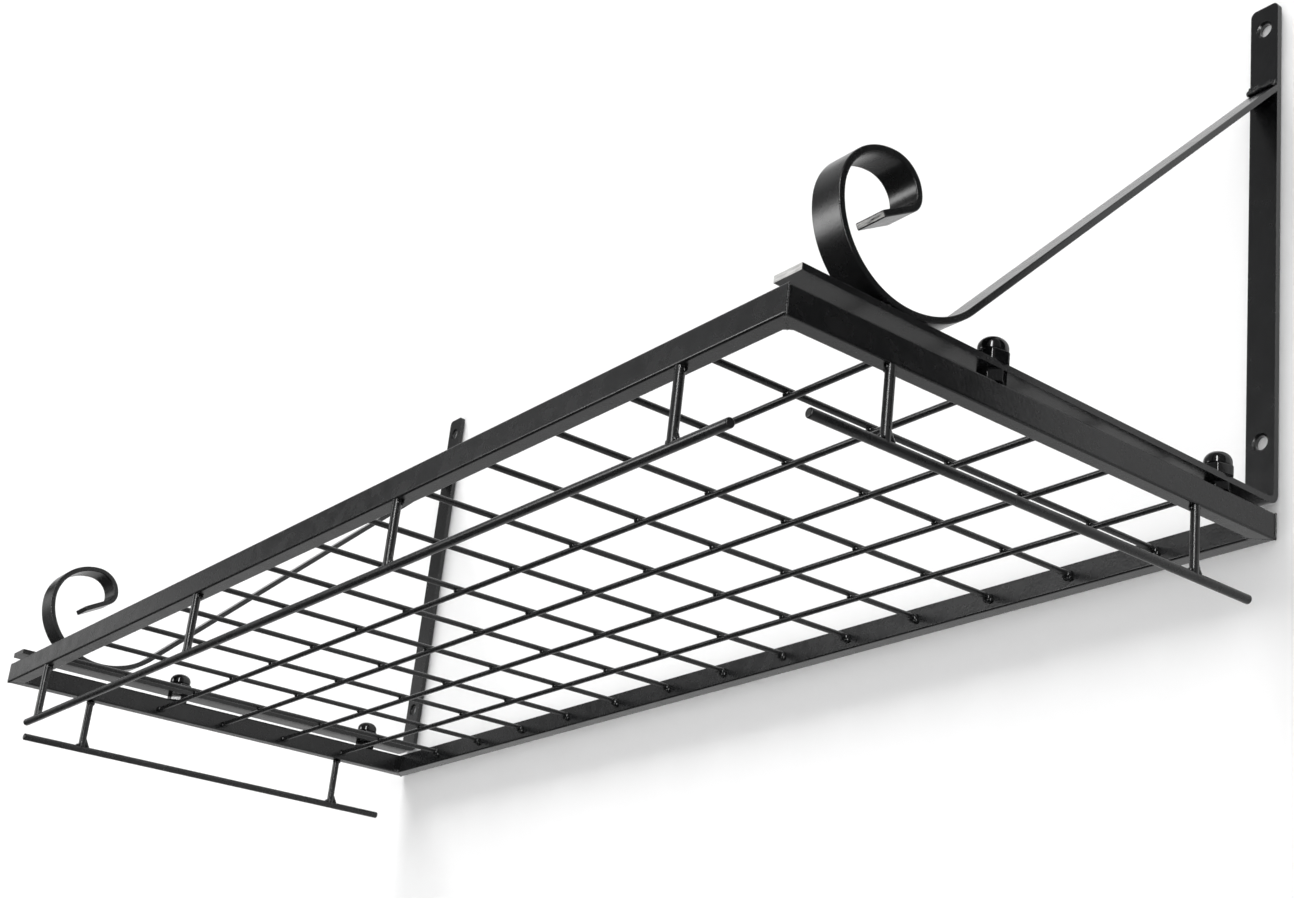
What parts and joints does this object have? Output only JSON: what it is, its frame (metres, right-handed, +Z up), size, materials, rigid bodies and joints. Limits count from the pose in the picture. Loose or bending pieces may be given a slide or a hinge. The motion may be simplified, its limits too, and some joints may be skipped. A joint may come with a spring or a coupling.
{
  "type": "wall-mounted pot rack",
  "caption": "Wall-mounted steel shelf and pot rack: welded wire grid in a bar frame, hanging rails beneath, and flat-bar wall brackets with scrolled braces.",
  "frame": {"origin": "middle of the rectangle of wall holes, in the plane of the wall", "axes": "+X along the wall to the viewer's right, +Y into the wall, +Z up"},
  "size_m": [0.9204, 0.33, 0.3686],
  "materials": {
    "frame_paint": "satin black powder coat",
    "wire_paint": "satin black powder coat",
    "rail_paint": "satin black powder coat",
    "bracket_paint": "satin black powder coat",
    "brace_paint": "satin black powder coat",
    "stud_steel": "zinc plated thread",
    "spacer_paint": "gloss black",
    "cap_paint": "gloss black"
  },
  "bodies": {
    "root": {"front_bar": "frame_paint", "back_bar": "frame_paint", "left_bar": "frame_paint", "right_bar": "frame_paint", "long_wire_1": "wire_paint", "long_wire_2": "wire_paint", "long_wire_3": "wire_paint", "long_wire_4": "wire_paint", "long_wire_5": "wire_paint", "cross_wire_1": "wire_paint", "cross_wire_2": "wire_paint", "cross_wire_3": "wire_paint", "cross_wire_4": "wire_paint", "cross_wire_5": "wire_paint", "cross_wire_6": "wire_paint", "cross_wire_7": "wire_paint", "cross_wire_8": "wire_paint", "cross_wire_9": "wire_paint", "cross_wire_10": "wire_paint", "cross_wire_11": "wire_paint", "cross_wire_12": "wire_paint", "cross_wire_13": "wire_paint", "front_rail": "rail_paint", "left_rail": "rail_paint", "right_rail": "rail_paint", "front_post_1": "rail_paint", "front_post_2": "rail_paint", "front_post_3": "rail_paint", "front_post_4": "rail_paint", "left_post_1": "rail_paint", "left_post_2": "rail_paint", "right_post_1": "rail_paint", "right_post_2": "rail_paint", "left_bracket": "bracket_paint", "right_bracket": "bracket_paint", "left_brace": "brace_paint", "right_brace": "brace_paint", "studs": "stud_steel", "spacer_nuts": "spacer_paint", "cap_nuts": "cap_paint"}
  },
  "joints": []
}
